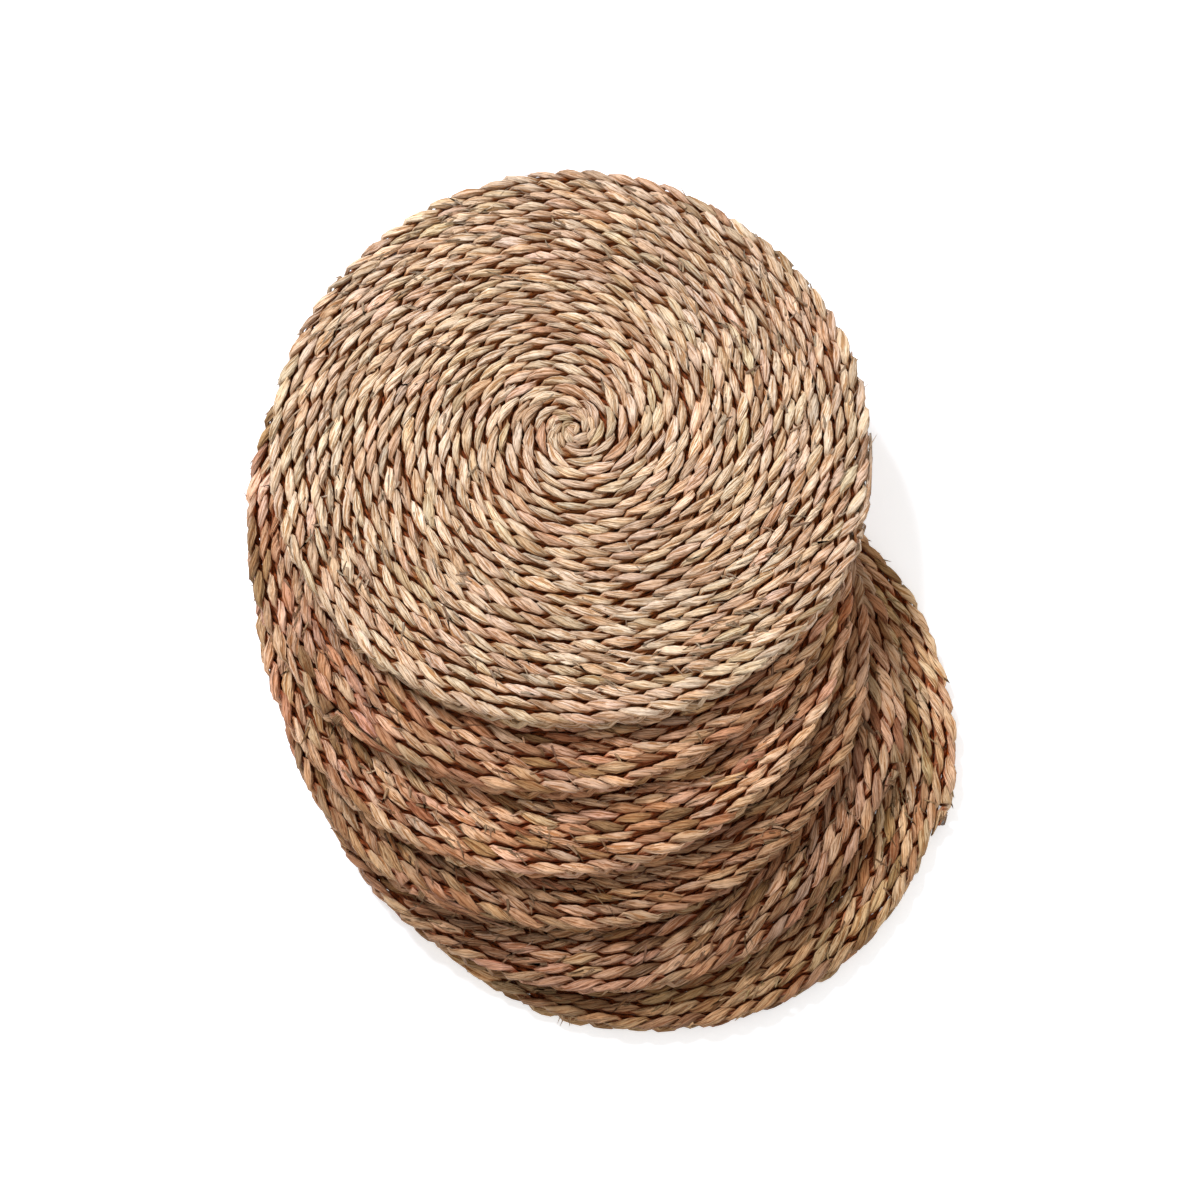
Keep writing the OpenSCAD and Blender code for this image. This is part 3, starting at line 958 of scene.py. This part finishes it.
def seagrass(name, hollow_tint):
    """Dried leaf: long pleats and fine fibres along the grain, browner in the folds partly as painted shade, painted
    shade in the hollows, a waxy gloss.
    """
    material = bpy.data.materials.new(name)
    material.use_nodes = True
    tree = material.node_tree
    tree.nodes.clear()
    link = tree.links.new
    out = node(tree, "ShaderNodeOutputMaterial")
    skin = node(tree, "ShaderNodeBsdfPrincipled", Roughness=ROUGHNESS)
    skin.inputs["Specular IOR Level"].default_value = SPECULAR
    link(skin.outputs[0], out.inputs[0])
    leaf, grain, hollow = (node(tree, "ShaderNodeAttribute", _attribute_name=a) for a in ("leaf", "grain", "hollow"))
    pleats, fibres, blotches = (noise(tree, grain.outputs["Vector"], *n) for n in (PLEATS, FIBRES, BLOTCHES))
    tone = multiplied(tree, leaf.outputs["Color"], ranged(tree, blotches, *WARM_SPAN), WARM)
    tone = multiplied(tree, tone, ranged(tree, fibres, *STREAK_SPAN), STREAK)
    # browner in the folds, where the bump sinks: partly painted shade
    tone = multiplied(tree, tone, ranged(tree, pleats, *FOLD_SHADE_SPAN), FOLD_SHADE)
    # a thin dark line along the pleats, partly painted shadow
    centred = node(tree, "ShaderNodeMath", _operation="SUBTRACT")
    centred.inputs[1].default_value = LINE_LEVEL
    link(pleats, centred.inputs[0])
    line = node(tree, "ShaderNodeMath", _operation="ABSOLUTE")
    link(centred.outputs[0], line.inputs[0])
    tone = multiplied(tree, tone, ranged(tree, line.outputs[0], *LINE_SPAN), FOLD_SHADE)
    # painted shade: darker and browner in the hollows between the leaves
    tone = multiplied(tree, tone, hollow.outputs["Fac"], hollow_tint)
    link(tone, skin.inputs["Base Color"])
    height = node(tree, "ShaderNodeMath", _operation="MULTIPLY_ADD")
    height.inputs[1].default_value = FIBRE_RELIEF
    link(fibres, height.inputs[0])
    link(pleats, height.inputs[2])
    bump = node(tree, "ShaderNodeBump", Strength=1.0, Distance=RELIEF)
    link(height.outputs[0], bump.inputs["Height"])
    link(bump.outputs[0], skin.inputs["Normal"])
    return material


# ================================================================ build
MATERIALS = {pad: seagrass(PADS[pad][4], HOLLOW_SHADE_TOP if pad == "top" else HOLLOW_SHADE) for pad in PADS}
TWINE = seagrass("twine", HOLLOW_SHADE)


def finish_piece(piece, coil, slot, *nodes):
    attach(piece, coil.body)
    if nodes:
        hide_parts(*nodes)


for pad in PADS:
    coil = Coil(pad)
    rng = prepare(coil)
    name = pad + "_pad_"
    for strand, strand_name in enumerate(STRAND_NAMES):
        bundle = Bundle(coil.flipped)
        rings, colour, grain, hollow = plait_strand(coil, strand, 0, coil.length)
        bundle.tube(coil.place(rings), colour, grain, hollow, CREASES)
        if strand_name == "middle":
            inner_leaves(coil, bundle)
        piece = bundle.build(f"{name}{strand_name}_strand", MATERIALS[pad])
        finish_piece(piece, coil, coil.slot, name + "plait")
    finish_piece(start_piece(coil, rng).build(name + "eye_leaves", MATERIALS[pad]), coil, coil.slot, name + "start")
    finish_piece(sewing_piece(coil).build(name + "stitching", TWINE), coil, "twine", name + "sewing_twine")
    finish_piece(tail_piece(coil, rng).build(name + "strand_ends", MATERIALS[pad]), coil, coil.slot, name + "tail")
    finish_piece(whipping_piece(coil).build(name + "whipping", TWINE), coil, "twine", name + "tail_whipping")
    finish_piece(loose_ends(coil, rng).build(name + "loose_ends", MATERIALS[pad]), coil, coil.slot)


# ================================================================ floor, light and camera
def floor():
    mesh = bpy.data.meshes.new("floor")
    corners = [(x * FLOOR_HALF, y * FLOOR_HALF, 0) for x, y in ((-1, -1), (1, -1), (1, 1), (-1, 1))]
    mesh.from_pydata(corners, [], [(0, 1, 2, 3)])
    plane = linked(bpy.data.objects.new("floor", mesh))
    material = bpy.data.materials.new("pale_floor")
    material.use_nodes = True
    skin = material.node_tree.nodes["Principled BSDF"]
    skin.inputs["Base Color"].default_value = FLOOR_COLOUR
    skin.inputs["Roughness"].default_value = FLOOR_ROUGHNESS
    skin.inputs["Emission Color"].default_value = (1, 1, 1, 1)
    skin.inputs["Emission Strength"].default_value = FLOOR_GLOW
    mesh.materials.append(material)


def area_light(name, away, size, power, colour):
    data = bpy.data.lights.new(name, "AREA")
    data.shape = "DISK"
    data.size = size
    data.energy = power
    data.color = colour
    lamp = linked(bpy.data.objects.new(name, data))
    lamp.location = away
    lamp.rotation_euler = (-Vector(away)).to_track_quat("-Z", "Y").to_euler()


def studio():
    """Soft light from all round, with a pale backdrop where the camera looks past the floor."""
    world = bpy.data.worlds.new("studio")
    world.use_nodes = True
    tree = world.node_tree
    soft_light = tree.nodes["Background"]
    soft_light.inputs["Color"].default_value = SOFT_LIGHT
    soft_light.inputs["Strength"].default_value = SOFT_STRENGTH
    backdrop = node(tree, "ShaderNodeBackground", Color=BACKDROP)
    seen = node(tree, "ShaderNodeLightPath")
    mix = node(tree, "ShaderNodeMixShader")
    for source, socket in ((seen.outputs["Is Camera Ray"], 0), (soft_light.outputs[0], 1), (backdrop.outputs[0], 2)):
        tree.links.new(source, mix.inputs[socket])
    tree.links.new(mix.outputs[0], tree.nodes["World Output"].inputs[0])
    bpy.context.scene.world = world


floor()
for lamp_name, lamp_values in LAMPS.items():
    area_light(lamp_name, *lamp_values)
studio()
bpy.context.scene.view_settings.view_transform = "Standard"

lens = bpy.data.cameras.new("camera")
lens.lens = LENS
lens.sensor_width = SENSOR
camera = linked(bpy.data.objects.new("camera", lens))
away = Vector((0, -math.cos(CAMERA_ELEVATION), math.sin(CAMERA_ELEVATION)))
camera.location = CAMERA_TARGET + away * CAMERA_DISTANCE
camera.rotation_euler = (-away).to_track_quat("-Z", "Y").to_euler()
bpy.context.scene.camera = camera
